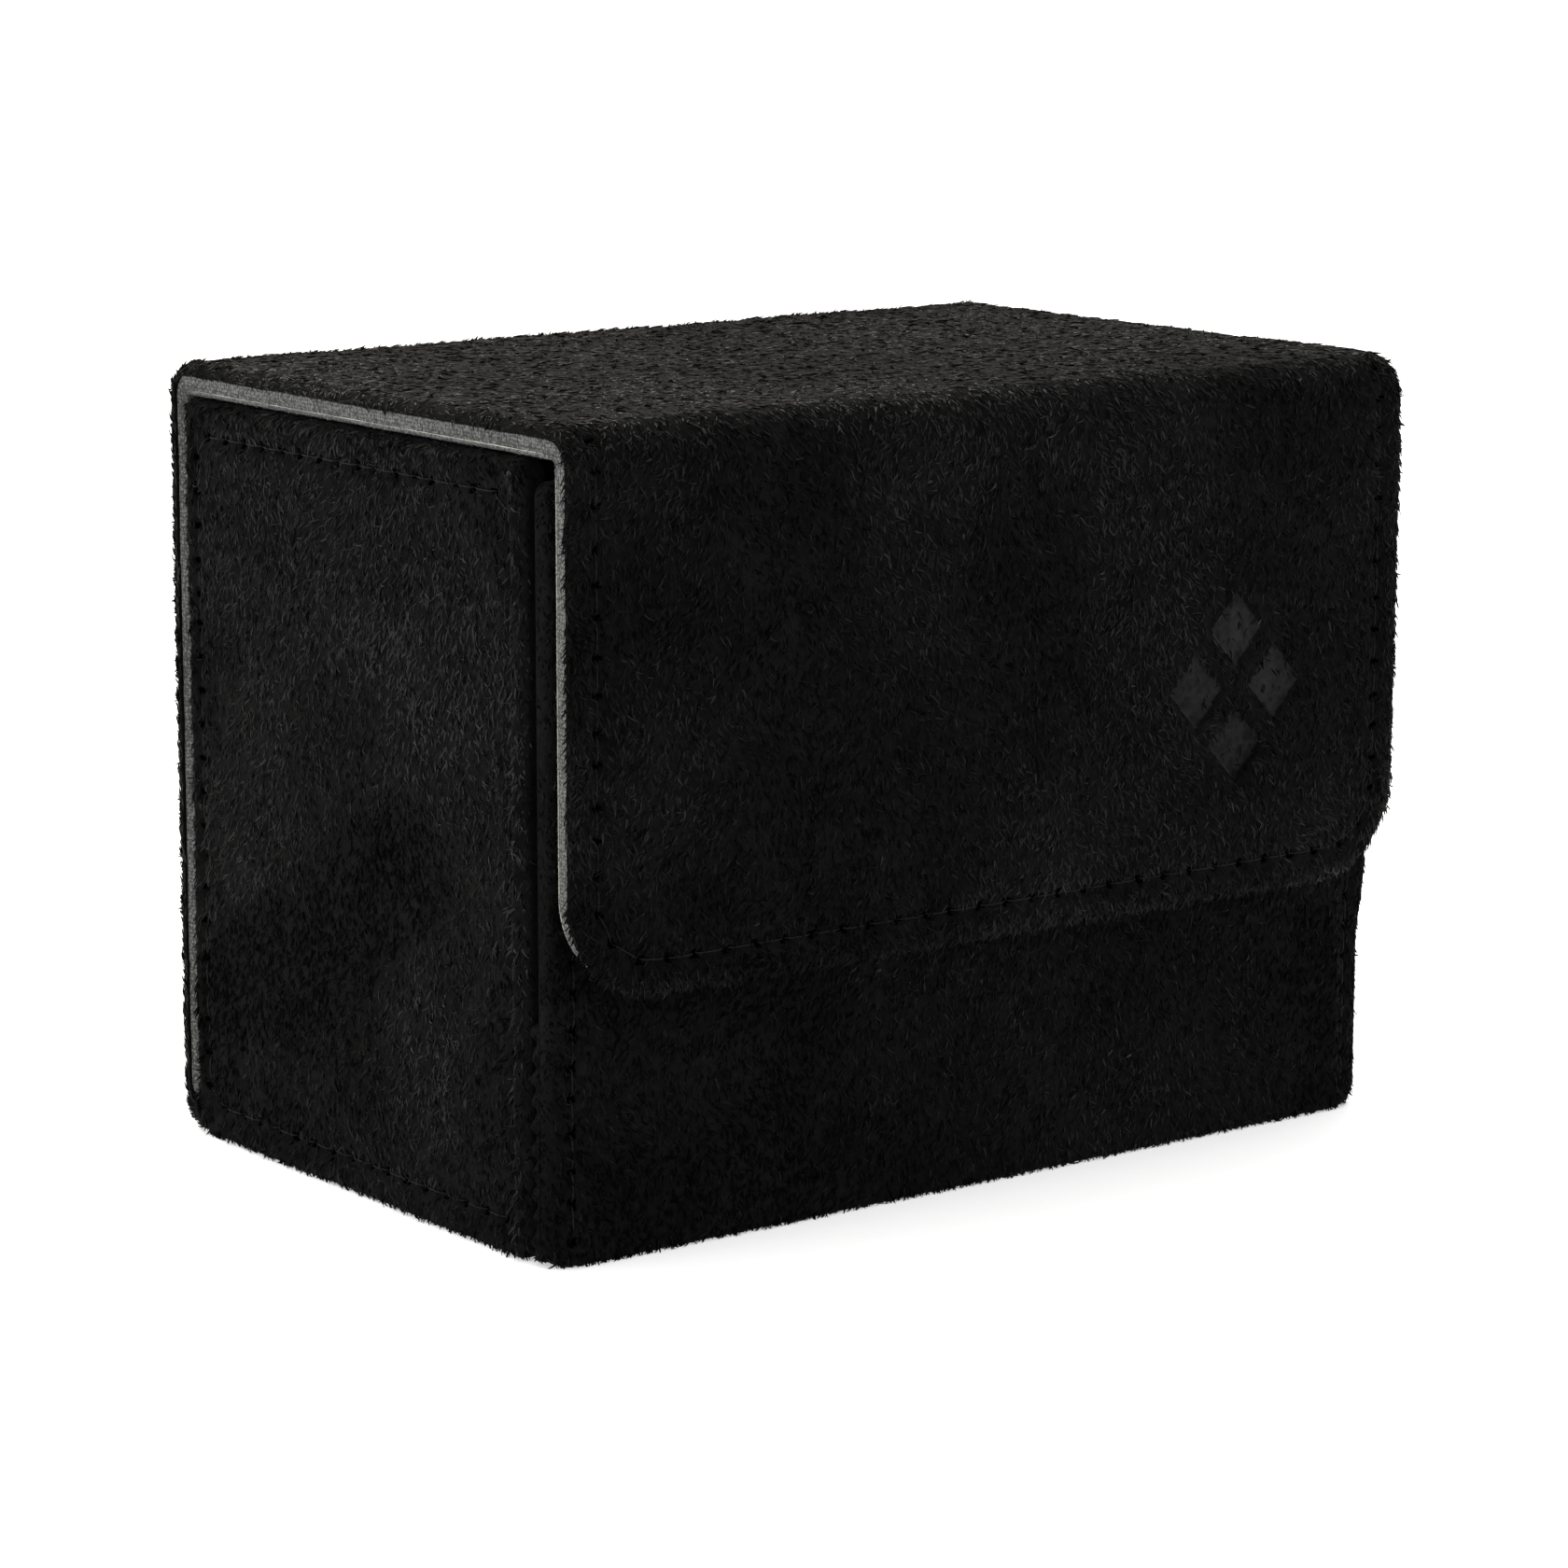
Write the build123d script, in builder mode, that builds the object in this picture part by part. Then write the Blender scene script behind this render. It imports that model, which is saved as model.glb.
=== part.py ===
"""Side-loading card deck box: a lined box with a wrap-around magnetic cover.

Frame: millimetres, +X to the right, +Y to the back, +Z up. The origin is the middle of the
base. A board core is covered with plush on the outside and microfibre on the inside. One
plush strip runs flap, lid, back wall, floor and front wall, and the two side walls stand
between the front and back walls. The lid turns at the rear top edge and the flap at the
front top edge, where the strip bends with no board inside.
"""

import os
from math import atan2, degrees

from build123d import *

os.makedirs("parts", exist_ok=True)

# ---- outer size ----
cover_width = 107.0
overall_depth = 73.4
overall_height = 82.0

# ---- material thicknesses ----
plush = 1.2
cover_board = 1.7
wall_board = 0.8
lining = 0.5
plush_turn_in = 0.8  # plush folded over the edge of a wall board

# ---- cover ----
flap_bottom = 27.0
flap_corner_radius = 10.0
fold_radius = 4.0  # outside of the strip at the two folded top edges
axis_inset = 1.7  # hinge axis below and behind the outer faces
hinge_reach = 6.0  # from the hinge axis to where the plush is glued flat
board_clearance = 3.3  # from the hinge axis to the end of a board
base_fold_radius = 3.0  # outside of the strip where the back turns under the floor

# ---- box ----
wall_inset = 0.1  # the box is narrower than the cover on each side
flap_gap = 0.3
lid_gap = 0.3
front_wall_drop = 1.9  # front wall below the side walls at the rim
corner_slit = 1.1  # open slot between a side wall and the front wall
seam_height = 24.0  # the slot is sewn shut below this height
wall_corner_radius = 1.5
wall_edge_radius = 0.7

# ---- magnets ----
magnet_diameter = 12.0
magnet_clearance = 0.1  # all round, in the board
magnet_spacing = 60.0
magnet_height = 36.0

# ---- stitching ----
stitch_pitch = 3.5
stitch_length = 2.7
stitch_width = 0.5
stitch_thickness = 0.3
groove_width = 1.0
groove_depth = 0.5
flap_stitch_inset = 3.2
side_stitch_inset = 3.6  # from the top and bottom of a side wall
side_stitch_end_inset = 2.6  # from its front and back ends
front_stitch_inset = 2.8
seam_corner_radius = 2.5

# ---- debossed mark on the flap: four lozenges set in a diamond ----
mark_x, mark_z = 30.5, 49.0
mark_depth = 0.6
lozenge_width, lozenge_height = 7.6, 8.4
lozenge_step_x, lozenge_step_z = 5.4, 6.0

# ---- derived places ----
cover_thickness = plush + cover_board + lining
wall_thickness = plush + wall_board + lining
half_cover = cover_width / 2
half_box = half_cover - wall_inset
half_inside = half_box - wall_thickness

front_face = -overall_depth / 2  # outside of the flap
back_face = overall_depth / 2  # outside of the back wall
back_inside = back_face - cover_thickness
wall_front = front_face + cover_thickness + flap_gap
wall_front_inside = wall_front + wall_thickness
side_front = wall_front_inside + corner_slit

lid_under = overall_height - cover_thickness
side_top = lid_under - lid_gap
front_top = side_top - front_wall_drop

hinge_y = back_face - axis_inset
hinge_z = overall_height - axis_inset

magnet_places = ((-magnet_spacing / 2, magnet_height), (magnet_spacing / 2, magnet_height))


def block(low_x, high_x, low_y, high_y, low_z, high_z, mode=Mode.ADD):
    """A box between two opposite corners, put into the part being built."""
    centre = ((low_x + high_x) / 2, (low_y + high_y) / 2, (low_z + high_z) / 2)
    with Locations(centre):
        Box(high_x - low_x, high_y - low_y, high_z - low_z, mode=mode)


def save(builder, name):
    """Label a finished piece and write it as its own STEP file."""
    builder.part.label = name
    export_step(builder.part, f"parts/{name}.step")


def stitch_places(seam):
    """Evenly spaced places along a seam line, each turned to follow it."""
    count = round(seam.length / stitch_pitch)
    places = []
    for index in range(count):
        share = (index + 0.5) / count
        point, way = seam.position_at(share), seam.tangent_at(share)
        places.append(Location((point.X, point.Y, 0), (0, 0, degrees(atan2(way.Y, way.X)))))
    return places


def stitch_run(name, face, seam, outward=1):
    """The thread of one seam: dashes in the groove of a face, whose plane faces out or, at -1, in."""
    with BuildPart() as thread:
        with BuildSketch(face.offset(-outward * groove_depth)):
            with Locations(*stitch_places(seam)):
                SlotOverall(stitch_length, stitch_width)
        extrude(amount=outward * stitch_thickness)
    save(thread, name)


def magnet_pair(name, inner_face, board_thickness):
    """Two disc magnets inside a board, which is covered on both sides."""
    with BuildPart() as magnets:
        with BuildSketch(inner_face.offset(magnet_clearance)):
            with Locations(*magnet_places):
                Circle(magnet_diameter / 2)
        extrude(amount=board_thickness - 2 * magnet_clearance)
    save(magnets, name)


# ---- side walls: a plush skin turned over a board, with a lining inside ----
side_depth = back_inside - side_front
side_middle = (back_inside + side_front) / 2
side_centre = (side_middle, side_top / 2)
side_core = (side_depth - 2 * plush_turn_in, side_top - 2 * plush_turn_in)
core_radius = wall_corner_radius - plush_turn_in
side_seam = Pos(*side_centre) * RectangleRounded(
    side_depth - 2 * side_stitch_end_inset, side_top - 2 * side_stitch_inset, seam_corner_radius
).wire()

for side, word in ((-1, "left"), (1, "right")):
    outer_face = Plane.YZ.offset(side * half_box)
    board_face = Plane.YZ.offset(side * (half_box - plush))
    lining_face = Plane.YZ.offset(side * (half_inside + lining))

    with BuildPart() as wall_skin:
        with BuildSketch(outer_face):
            with Locations(side_centre):
                RectangleRounded(side_depth, side_top, wall_corner_radius)
        extrude(amount=-side * wall_thickness)
        outside = wall_skin.faces().sort_by(Axis.X)[0 if side < 0 else -1]
        fillet(outside.edges(), radius=wall_edge_radius)
        with BuildSketch(board_face):
            with Locations(side_centre):
                RectangleRounded(*side_core, core_radius)
        extrude(amount=-side * (wall_board + lining), mode=Mode.SUBTRACT)
        with BuildSketch(outer_face):
            trace(side_seam, groove_width)
        extrude(amount=-side * groove_depth, mode=Mode.SUBTRACT)
    save(wall_skin, f"{word}_wall_skin")

    with BuildPart() as wall_core:
        with BuildSketch(board_face):
            with Locations(side_centre):
                RectangleRounded(*side_core, core_radius)
        extrude(amount=-side * wall_board)
    save(wall_core, f"{word}_wall_board")

    with BuildPart() as wall_lining:
        with BuildSketch(lining_face):
            with Locations(side_centre):
                RectangleRounded(*side_core, core_radius)
        extrude(amount=-side * lining)
    save(wall_lining, f"{word}_wall_lining")

    stitch_run(f"{word}_wall_stitching", outer_face, side_seam, outward=side)

    # gathered thread and plush that close the lower part of the corner slot
    with BuildPart() as corner_seam:
        inset_from_face = 0.4
        near, far = half_box - inset_from_face, half_inside + lining
        low_x, high_x = sorted((side * near, side * far))
        block(low_x, high_x, wall_front_inside, side_front, wall_corner_radius, seam_height)
    save(corner_seam, f"{word}_corner_seam")

# ---- front wall ----
front_plane = Plane.XZ.offset(-wall_front)  # its normal points to the front
front_centre = (0, front_top / 2)
front_core = (2 * (half_box - plush_turn_in), front_top - 2 * plush_turn_in)
seam_x = half_box - front_stitch_inset
front_seam = FilletPolyline(
    (-seam_x, seam_corner_radius),
    (-seam_x, front_top - front_stitch_inset),
    (seam_x, front_top - front_stitch_inset),
    (seam_x, seam_corner_radius),
    radius=seam_corner_radius,
)

with BuildPart() as front_wall_skin:
    with BuildSketch(front_plane):
        with Locations(front_centre):
            RectangleRounded(2 * half_box, front_top, wall_corner_radius)
    extrude(amount=-wall_thickness)
    fillet(front_wall_skin.faces().sort_by(Axis.Y)[0].edges(), radius=wall_edge_radius)
    with BuildSketch(front_plane.offset(-plush)):
        with Locations(front_centre):
            RectangleRounded(*front_core, core_radius)
    extrude(amount=-(wall_board + lining), mode=Mode.SUBTRACT)
    with BuildSketch(front_plane):
        trace(front_seam, groove_width)
    extrude(amount=-groove_depth, mode=Mode.SUBTRACT)
save(front_wall_skin, "front_wall_skin")

with BuildPart() as front_wall_board:
    with BuildSketch(front_plane.offset(-plush)):
        with Locations(front_centre):
            RectangleRounded(*front_core, core_radius)
        with Locations(*magnet_places):
            Circle(magnet_diameter / 2 + magnet_clearance, mode=Mode.SUBTRACT)
    extrude(amount=-wall_board)
save(front_wall_board, "front_wall_board")

with BuildPart() as front_wall_lining:
    with BuildSketch(front_plane.offset(-plush - wall_board)):
        with Locations(front_centre):
            RectangleRounded(*front_core, core_radius)
    extrude(amount=-lining)
save(front_wall_lining, "front_wall_lining")

magnet_pair("front_wall_magnets", front_plane.offset(-plush - wall_board), wall_board)
stitch_run("front_wall_stitching", front_plane, front_seam)

# ---- floor, between the walls ----
floor_layers = (("floor_skin", plush), ("floor_board", wall_board), ("floor_lining", lining))
layer_base = 0.0
for name, thickness in floor_layers:
    layer_top = layer_base + thickness
    with BuildPart() as layer:
        block(-half_inside, half_inside, wall_front_inside, back_inside, layer_base, layer_top)
    save(layer, name)
    layer_base = layer_top

# ---- back wall: the cover's back panel, whose plush turns under the floor ----
back_plush = back_face - plush
skin_end = hinge_z - hinge_reach
board_end = hinge_z - board_clearance

with BuildPart() as back_wall_skin:
    with BuildSketch(Plane.YZ.offset(-half_cover)):
        with BuildLine():
            Polyline(
                (back_face, base_fold_radius),
                (back_face, skin_end),
                (back_plush, skin_end),
                (back_plush, plush),
                (back_inside, plush),
                (back_inside, 0),
                (back_face - base_fold_radius, 0),
            )
            RadiusArc((back_face - base_fold_radius, 0), (back_face, base_fold_radius), -base_fold_radius)
        make_face()
    extrude(amount=cover_width)
save(back_wall_skin, "back_wall_skin")

back_core = (
    *(lining - half_cover, half_cover - lining),
    *(back_inside + lining, back_plush),
    *(plush + lining, board_end),
)

with BuildPart() as back_wall_board:
    block(*back_core)
save(back_wall_board, "back_wall_board")

with BuildPart() as back_wall_lining:
    block(-half_cover, half_cover, back_inside, back_plush, plush, board_end)
    block(*back_core, mode=Mode.SUBTRACT)
save(back_wall_lining, "back_wall_lining")

# ---- lid: the cover's top panel ----
lid_skin_half = hinge_y - hinge_reach
lid_board_half = hinge_y - board_clearance
lid_plush = overall_height - plush

with BuildPart() as lid_skin:
    block(-half_cover, half_cover, -lid_skin_half, lid_skin_half, lid_plush, overall_height)
save(lid_skin, "lid_skin")

lid_core = (
    *(lining - half_cover, half_cover - lining),
    *(-lid_board_half, lid_board_half),
    *(lid_under + lining, lid_plush),
)

with BuildPart() as lid_board:
    block(*lid_core)
save(lid_board, "lid_board")

with BuildPart() as lid_lining:
    block(-half_cover, half_cover, -lid_board_half, lid_board_half, lid_under, lid_plush)
    block(*lid_core, mode=Mode.SUBTRACT)
save(lid_lining, "lid_lining")

# ---- folded hinge strips: plush outside, microfibre inside, no board ----
fold_centre_y = back_face - fold_radius
fold_centre_z = overall_height - fold_radius
inner_fold_radius = fold_radius - plush

for side, word in ((1, "rear"), (-1, "front")):
    with BuildPart() as hinge_skin:
        with BuildSketch(Plane.YZ.offset(-half_cover)):
            with BuildLine():
                Line((side * back_plush, skin_end), (side * back_face, skin_end))
                Line((side * back_face, skin_end), (side * back_face, fold_centre_z))
                RadiusArc(
                    (side * back_face, fold_centre_z),
                    (side * fold_centre_y, overall_height),
                    -side * fold_radius,
                )
                Line((side * fold_centre_y, overall_height), (side * lid_skin_half, overall_height))
                Line((side * lid_skin_half, overall_height), (side * lid_skin_half, lid_plush))
                Line((side * lid_skin_half, lid_plush), (side * fold_centre_y, lid_plush))
                RadiusArc(
                    (side * fold_centre_y, lid_plush),
                    (side * back_plush, fold_centre_z),
                    side * inner_fold_radius,
                )
                Line((side * back_plush, fold_centre_z), (side * back_plush, skin_end))
            make_face()
        extrude(amount=cover_width)
    save(hinge_skin, f"{word}_hinge_skin")

    # the lining crosses the fold as one layer and is turned out at both ends
    with BuildPart() as hinge_lining:
        with BuildSketch(Plane.YZ.offset(-half_cover)):
            with BuildLine():
                Polyline(
                    (side * back_plush, fold_centre_z),
                    (side * back_plush, board_end),
                    (side * back_inside, board_end),
                    (side * back_inside, lid_under),
                    (side * lid_board_half, lid_under),
                    (side * lid_board_half, lid_plush),
                    (side * fold_centre_y, lid_plush),
                )
                RadiusArc(
                    (side * fold_centre_y, lid_plush),
                    (side * back_plush, fold_centre_z),
                    side * inner_fold_radius,
                )
            make_face()
        extrude(amount=cover_width)
        with BuildSketch(Plane.YZ.offset(lining - half_cover)):
            with BuildLine():
                Polyline(
                    (side * back_plush, fold_centre_z),
                    (side * back_plush, board_end),
                    (side * (back_inside + lining), board_end),
                    (side * (back_inside + lining), lid_under + lining),
                    (side * lid_board_half, lid_under + lining),
                    (side * lid_board_half, lid_plush),
                    (side * fold_centre_y, lid_plush),
                )
                RadiusArc(
                    (side * fold_centre_y, lid_plush),
                    (side * back_plush, fold_centre_z),
                    side * inner_fold_radius,
                )
            make_face()
        extrude(amount=cover_width - 2 * lining, mode=Mode.SUBTRACT)
    save(hinge_lining, f"{word}_hinge_lining")

# ---- flap ----
flap_plane = Plane.XZ.offset(-front_face)  # its normal points to the front
flap_edge_radius = 0.8
board_radius = flap_corner_radius - lining
flap_seam_x = half_cover - flap_stitch_inset
flap_seam = FilletPolyline(
    (-flap_seam_x, skin_end),
    (-flap_seam_x, flap_bottom + flap_stitch_inset),
    (flap_seam_x, flap_bottom + flap_stitch_inset),
    (flap_seam_x, skin_end),
    radius=flap_corner_radius - flap_stitch_inset,
)

with BuildPart() as flap_skin:
    with BuildSketch(flap_plane) as flap_outline:
        with Locations((0, (flap_bottom + skin_end) / 2)):
            Rectangle(cover_width, skin_end - flap_bottom)
        fillet(flap_outline.vertices().group_by(Axis.Y)[0], radius=flap_corner_radius)
    extrude(amount=-plush)
    rim = flap_skin.faces().sort_by(Axis.Y)[0].edges().sort_by(Axis.Z)[:-1]
    fillet(rim, radius=flap_edge_radius)
    with BuildSketch(flap_plane):
        trace(flap_seam, groove_width)
    extrude(amount=-groove_depth, mode=Mode.SUBTRACT)
    with BuildSketch(flap_plane):
        with Locations(
            (mark_x - lozenge_step_x, mark_z),
            (mark_x + lozenge_step_x, mark_z),
            (mark_x, mark_z - lozenge_step_z),
            (mark_x, mark_z + lozenge_step_z),
        ):
            Polygon(
                (-lozenge_width / 2, 0),
                (0, -lozenge_height / 2),
                (lozenge_width / 2, 0),
                (0, lozenge_height / 2),
            )
    extrude(amount=-mark_depth, mode=Mode.SUBTRACT)
save(flap_skin, "flap_skin")

with BuildPart() as flap_board:
    with BuildSketch(flap_plane.offset(-plush)) as board_outline:
        low, high = flap_bottom + lining, board_end
        with Locations((0, (low + high) / 2)):
            Rectangle(cover_width - 2 * lining, high - low)
        fillet(board_outline.vertices().group_by(Axis.Y)[0], radius=board_radius)
        with Locations(*magnet_places):
            Circle(magnet_diameter / 2 + magnet_clearance, mode=Mode.SUBTRACT)
    extrude(amount=-cover_board)
save(flap_board, "flap_board")

with BuildPart() as flap_lining:
    with BuildSketch(flap_plane.offset(-plush)) as lining_outline:
        with Locations((0, (flap_bottom + board_end) / 2)):
            Rectangle(cover_width, board_end - flap_bottom)
        fillet(lining_outline.vertices().group_by(Axis.Y)[0], radius=flap_corner_radius)
    extrude(amount=-(cover_board + lining))
    with BuildSketch(flap_plane.offset(-plush)) as recess_outline:
        with Locations((0, (low + high) / 2)):
            Rectangle(cover_width - 2 * lining, high - low)
        fillet(recess_outline.vertices().group_by(Axis.Y)[0], radius=board_radius)
    extrude(amount=-cover_board, mode=Mode.SUBTRACT)
save(flap_lining, "flap_lining")

magnet_pair("flap_magnets", flap_plane.offset(-plush - cover_board), cover_board)
stitch_run("flap_stitching", flap_plane, flap_seam)
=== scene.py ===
"""Looks of the side-loading card deck box: plush, microfibre, stitching and nap.

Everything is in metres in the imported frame. Each fabric panel has coordinates of its own,
u across and v along, and one height function that its mesh, stitches and pile all share.
"""

import itertools
import math

import bmesh
import bpy
import numpy as np
from mathutils import Matrix, Vector


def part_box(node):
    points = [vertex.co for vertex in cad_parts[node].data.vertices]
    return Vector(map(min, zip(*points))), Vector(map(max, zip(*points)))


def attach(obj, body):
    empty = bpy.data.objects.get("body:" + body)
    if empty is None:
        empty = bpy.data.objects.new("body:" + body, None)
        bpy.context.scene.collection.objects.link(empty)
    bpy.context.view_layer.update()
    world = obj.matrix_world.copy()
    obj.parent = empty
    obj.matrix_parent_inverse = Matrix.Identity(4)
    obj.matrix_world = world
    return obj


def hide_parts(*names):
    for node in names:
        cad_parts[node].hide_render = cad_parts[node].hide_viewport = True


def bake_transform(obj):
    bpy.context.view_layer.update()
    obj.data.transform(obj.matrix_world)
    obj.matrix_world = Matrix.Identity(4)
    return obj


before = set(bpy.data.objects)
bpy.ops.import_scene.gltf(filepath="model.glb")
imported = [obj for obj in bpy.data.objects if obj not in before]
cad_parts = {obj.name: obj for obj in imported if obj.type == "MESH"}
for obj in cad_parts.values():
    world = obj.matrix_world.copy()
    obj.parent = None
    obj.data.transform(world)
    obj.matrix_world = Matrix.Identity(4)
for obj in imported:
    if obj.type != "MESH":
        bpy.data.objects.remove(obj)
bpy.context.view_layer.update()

mm = 0.001
quarter = math.pi / 2
rng = np.random.default_rng(802)
scene = bpy.context.scene

# ---- places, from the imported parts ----
flap_low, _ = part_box("flap_skin")
lid_low, lid_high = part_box("lid_skin")
_, back_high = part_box("back_wall_skin")
front_low, front_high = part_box("front_wall_skin")
side_low, side_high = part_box("right_wall_skin")
floor_low, floor_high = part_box("floor_skin")
floor_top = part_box("floor_lining")[1].z
lining_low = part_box("lid_lining")[0]
seam_low, seam_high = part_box("right_corner_seam")

half_cover, half_box, half_inside = lid_high.x, front_high.x, floor_high.x
front_face, back_face, top = flap_low.y, back_high.y, lid_high.z
plush = lid_high.z - lid_low.z
cover_thickness = lid_high.z - lining_low.z
wall_thickness = front_high.y - front_low.y
fold_radius = 4.0 * mm
base_fold_radius = 3.0 * mm
flap_radius = 10.0 * mm
wall_radius, wall_foot_radius = 1.5 * mm, 2.4 * mm
turn_in = 0.8 * mm

# ---- stitching ----
pitch = 3.5 * mm
flap_inset, side_inset, front_inset = 3.2 * mm, 3.6 * mm, 2.8 * mm
side_end_inset = 2.6 * mm
seam_radius = 2.5 * mm
thread_radius = 0.11 * mm

# ---- debossed mark: four lozenges set in a diamond ----
mark_x, mark_z = 30.5 * mm, 49.0 * mm
lozenge_half = (3.8 * mm, 4.2 * mm)
lozenge_steps = ((-5.4 * mm, 0), (5.4 * mm, 0), (0, -6.0 * mm), (0, 6.0 * mm))


# =========================== small maths ===========================


primes = (73856093, 19349663, 83492791, 40503, 1274126177, 668265263)  # they scatter the noise
largest = 0x7FFFFFFF


def noise(points, cell, seed=0):
    """Smooth value noise from -1 to 1 at an (n, 3) array, with cells of the given size."""
    place = np.asarray(points, float) / cell + 31.7 * (seed + 1)
    base = np.floor(place).astype(np.int64)
    part = place - base
    part = part * part * (3 - 2 * part)
    total = np.zeros(len(place))
    for corner in itertools.product((0, 1), repeat=3):
        x, y, z = (base + np.array(corner)).T
        mixed = (x * primes[0]) ^ (y * primes[1]) ^ (z * primes[2]) ^ (seed * primes[3])
        mixed = ((mixed ^ (mixed >> 13)) * primes[4]) & largest
        mixed = ((mixed ^ (mixed >> 15)) * primes[5]) & largest
        value = mixed / (largest // 2) - 1
        total += value * np.prod(np.where(corner, part, 1 - part), axis=1)
    return total


def smooth(value, low, high):
    """Smoothstep from 0 at low to 1 at high."""
    t = np.clip((value - low) / (high - low), 0, 1)
    return t * t * (3 - 2 * t)


def unit(vectors):
    """Each row scaled to length 1."""
    return vectors / np.maximum(np.linalg.norm(vectors, axis=1, keepdims=True), 1e-12)


def lines(low, high, coarse, zones):
    """Places from low to high, coarse apart, or closer inside (from, to, spacing) zones."""
    marks = [low]
    while marks[-1] < high:
        at = marks[-1]
        step = min([coarse] + [close for start, stop, close in zones if start <= at <= stop])
        ahead = [max(start - at, close) for start, stop, close in zones if at < start < at + step]
        marks.append(at + min([step] + ahead))
    marks = np.array(marks)
    return low + (marks - low) * (high - low) / (marks[-1] - low)


# =========================== panels ===========================


def round_edge(width, power=2.0, steps=9):
    """An edge profile: insets from the outline, and drops from 1 there to 0 on the face."""
    angle = np.linspace(0, quarter, steps + 1)
    insets = width * (1 - np.cos(angle) ** (2 / power))
    drops = 1 - np.sin(angle) ** (2 / power)
    return insets, drops


def boxed_edge(radius, depth, steps=7):
    """A rounded edge and then a flat side, as drops out of the whole depth."""
    angle = np.linspace(0, quarter, steps + 1)
    flat = np.linspace(0, 1, 5)[:-1]
    insets = np.concatenate([flat * 0.04 * mm, 0.04 * mm + radius * (1 - np.cos(angle))])
    drops = np.concatenate([1 - flat * (1 - radius / depth), radius / depth * (1 - np.sin(angle))])
    return insets, drops


class Panel:
    """A fabric face: a rounded outline in u and v, an edge profile, and where each point goes.

    An open end is cut straight there, with no edge of its own.
    """

    def __init__(self, half, low, high, place, profile, depth, radii=(0, 0), opened=(False, False)):
        self.half, self.low, self.high = half, low, high
        self.place, self.profile, self.depth = place, profile, depth
        self.radii, self.opened = radii, opened

    def inset(self, u, v):
        """How far a point is inside the outline."""
        far = 1.0
        low = self.low - (far if self.opened[0] else 0)
        high = self.high + (far if self.opened[1] else 0)
        radius = np.where(v < (self.low + self.high) / 2, *self.radii)
        over_u = np.abs(u) - (self.half - radius)
        over_v = np.maximum(low - v, v - high) + radius
        outside = np.hypot(np.maximum(over_u, 0), np.maximum(over_v, 0))
        return radius - outside - np.minimum(np.maximum(over_u, over_v), 0)

    def drop(self, u, v):
        """How far the edge profile has fallen at a point."""
        depth = self.depth(v) if callable(self.depth) else self.depth
        return depth * np.interp(self.inset(u, v), *self.profile)

    def half_at(self, v):
        """Half of the outline's width at v."""
        half = np.full_like(v, self.half)
        for radius, end, opened in zip(self.radii, (v - self.low, self.high - v), self.opened):
            if radius and not opened:
                gap = np.clip(radius - end, 0, radius)
                half -= radius - np.sqrt(radius**2 - gap**2)
        return half

    def rows(self, coarse, zones):
        """The v of each mesh row: even lines, the edge profile and the rounded corners."""
        insets = self.profile[0]
        parts = [lines(self.low, self.high, coarse, zones)]
        ends = zip((self.low, self.high), (1, -1), self.radii, self.opened)
        for end, way, radius, opened in ends:
            if not opened:
                reach = insets[-1]
                parts[0] = parts[0][way * (parts[0] - end) > reach + 0.1 * mm]
                parts.append(end + way * insets)
                turn = radius * (1 - np.cos(np.linspace(0, quarter, 25)))
                parts.append(end + way * turn)
        return np.unique(np.round(np.concatenate(parts), 6))

    def columns(self, coarse, zones):
        """The u of each mesh column, across the widest row."""
        insets = self.profile[0]
        inner = self.half - insets[-1]
        middle = lines(-inner, inner, coarse, zones)[1:-1]
        return np.concatenate([insets - self.half, middle, self.half - insets[::-1]])


def flat_place(origin, across, along, outward):
    """Placing function of a flat panel."""
    origin, across, along, outward = (np.array(v, float) for v in (origin, across, along, outward))

    def place(u, v, lift):
        return origin + np.outer(u, across) + np.outer(v, along) + np.outer(lift, outward)

    return place


# The cover's outside runs up the flap, over the lid, down the back and under the floor:
# straights and arcs in the YZ plane, as (length, radius), where radius 0 is a straight.
cover_run = (
    (top - fold_radius - flap_low.z, 0),
    (quarter * fold_radius, fold_radius),
    (back_face - front_face - 2 * fold_radius, 0),
    (quarter * fold_radius, fold_radius),
    (top - fold_radius - base_fold_radius, 0),
    (quarter * base_fold_radius, base_fold_radius),
    (back_face - base_fold_radius - floor_high.y, 0),
)
run_ends = np.cumsum([length for length, _ in cover_run])
lid_middle = (run_ends[1] + run_ends[2]) / 2


def cover_place(u, v, lift):
    """A point of the cover, v along its outside from the flap's bottom edge."""
    u, v, lift = (np.asarray(a, float) for a in (u, v, lift))
    point, normal = np.array([front_face, flap_low.z]), np.array([-1.0, 0.0])
    out = np.zeros((len(v), 2))
    last = len(cover_run) - 1
    for index, (length, radius) in enumerate(cover_run):
        heading = np.array([normal[1], -normal[0]])
        start, stop = run_ends[index] - length, run_ends[index]
        here = ((v >= start) | (index == 0)) & ((v < stop) | (index == last))
        along = v[here] - start
        if radius:
            turn = along / radius
            turned = np.outer(np.cos(turn), normal) + np.outer(np.sin(turn), heading)
            centre = point - normal * radius
            out[here] = centre + turned * (radius + lift[here])[:, None]
            point, normal = centre + heading * radius, heading
        else:
            out[here] = point + np.outer(along, heading) + np.outer(lift[here], normal)
            point = point + heading * length
    return np.column_stack([u, out])


flap_wrap, lid_wrap, back_wrap = 0.8 * mm, 1.35 * mm, 2.1 * mm
lining_end = run_ends[4] - 1.0 * mm


def front_depth(v):
    """How far the plush wraps round the cover's side: less on the flap than on the lid."""
    return flap_wrap + (lid_wrap - flap_wrap) * smooth(v, run_ends[0], run_ends[1])


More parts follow.
